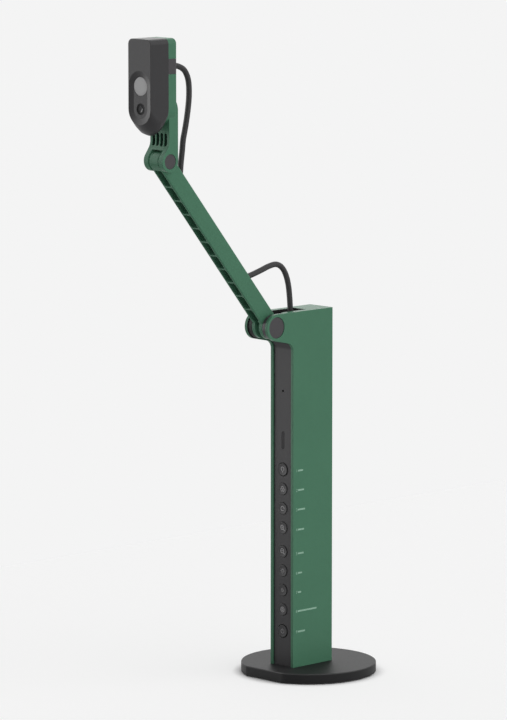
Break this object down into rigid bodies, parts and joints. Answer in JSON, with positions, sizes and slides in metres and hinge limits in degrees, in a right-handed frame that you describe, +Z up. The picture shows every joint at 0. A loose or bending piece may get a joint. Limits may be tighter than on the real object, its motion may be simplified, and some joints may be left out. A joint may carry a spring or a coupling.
{
  "type": "book scanner",
  "caption": "Desk book scanner: a camera head with light and lens tilts on a hinged arm, carried by a slim button column on a round weighted foot.",
  "frame": {"origin": "middle of the round foot, on its underside, where it stands on the table", "axes": "+Z up; -Y is the front, where the buttons and the lens face; the arm swings in the plane X = 0"},
  "size_m": [0.096, 0.2113, 0.4583],
  "materials": {
    "green_plastic": "satin",
    "dark_plastic": "satin",
    "button_plastic": "satin",
    "foot_paint": "satin",
    "pad_rubber": "matte",
    "cable_rubber": "matte",
    "steel": "brushed",
    "brass": "turned",
    "circuit_board": "satin",
    "black_plastic": "matte",
    "frosted_plastic": "frosted",
    "smoked_plastic": "smooth",
    "lens_glass": "polished"
  },
  "bodies": {
    "stand": {"base_plate": "foot_paint", "base_pad": "pad_rubber", "base_screws": "steel", "column_shell": "green_plastic", "front_panel": "dark_plastic", "control_board": "circuit_board", "tact_switches": "black_plastic", "microphone": "steel", "indicator_lens": "smoked_plastic", "main_board": "circuit_board", "usb_socket": "steel", "cable_clamp": "black_plastic", "left_hinge_hub": "dark_plastic", "right_hinge_hub": "dark_plastic", "arm_axle": "steel", "lower_cable": "cable_rubber"},
    "arm": {"arm_beam": "green_plastic", "arm_bush": "brass", "arm_cable": "cable_rubber", "upper_cable": "cable_rubber"},
    "head": {"head_housing": "dark_plastic", "head_cap": "green_plastic", "cable_port": "dark_plastic", "head_back": "green_plastic", "light_diffuser": "frosted_plastic", "light_board": "circuit_board", "lens_barrel": "black_plastic", "lens_glass": "lens_glass", "sensor_board": "circuit_board", "head_axle": "steel", "left_axle_cap": "dark_plastic", "right_axle_cap": "dark_plastic"},
    "light_button": {"light_button": "button_plastic"},
    "filter_button": {"filter_button": "button_plastic"},
    "rotate_button": {"rotate_button": "button_plastic"},
    "zoom_in_button": {"zoom_in_button": "button_plastic"},
    "zoom_out_button": {"zoom_out_button": "button_plastic"},
    "brighter_button": {"brighter_button": "button_plastic"},
    "darker_button": {"darker_button": "button_plastic"},
    "focus_button": {"focus_button": "button_plastic"},
    "power_button": {"power_button": "button_plastic"}
  },
  "joints": [
    {"name": "arm_pivot", "type": "hinge", "parent": "stand", "child": "arm", "pos_m": [0, -0.0432, 0.2515], "axis": [1, 0, 0], "range_deg": [-39, 115], "deforming": ["lower_cable"]},
    {"name": "head_tilt", "type": "hinge", "parent": "arm", "child": "head", "pos_m": [0, -0.14346, 0.37453], "axis": [1, 0, 0], "range_deg": [-30, 95], "deforming": ["upper_cable"]},
    {"name": "light_press", "type": "slide", "parent": "stand", "child": "light_button", "axis": [0, 1, 0], "range_m": [0, 0.0008], "stiffness_N_per_m": 800},
    {"name": "filter_press", "type": "slide", "parent": "stand", "child": "filter_button", "axis": [0, 1, 0], "range_m": [0, 0.0008], "stiffness_N_per_m": 800},
    {"name": "rotate_press", "type": "slide", "parent": "stand", "child": "rotate_button", "axis": [0, 1, 0], "range_m": [0, 0.0008], "stiffness_N_per_m": 800},
    {"name": "zoom_in_press", "type": "slide", "parent": "stand", "child": "zoom_in_button", "axis": [0, 1, 0], "range_m": [0, 0.0008], "stiffness_N_per_m": 800},
    {"name": "zoom_out_press", "type": "slide", "parent": "stand", "child": "zoom_out_button", "axis": [0, 1, 0], "range_m": [0, 0.0008], "stiffness_N_per_m": 800},
    {"name": "brighter_press", "type": "slide", "parent": "stand", "child": "brighter_button", "axis": [0, 1, 0], "range_m": [0, 0.0008], "stiffness_N_per_m": 800},
    {"name": "darker_press", "type": "slide", "parent": "stand", "child": "darker_button", "axis": [0, 1, 0], "range_m": [0, 0.0008], "stiffness_N_per_m": 800},
    {"name": "focus_press", "type": "slide", "parent": "stand", "child": "focus_button", "axis": [0, 1, 0], "range_m": [0, 0.0008], "stiffness_N_per_m": 800},
    {"name": "power_press", "type": "slide", "parent": "stand", "child": "power_button", "axis": [0, 1, 0], "range_m": [0, 0.0008], "stiffness_N_per_m": 800}
  ]
}
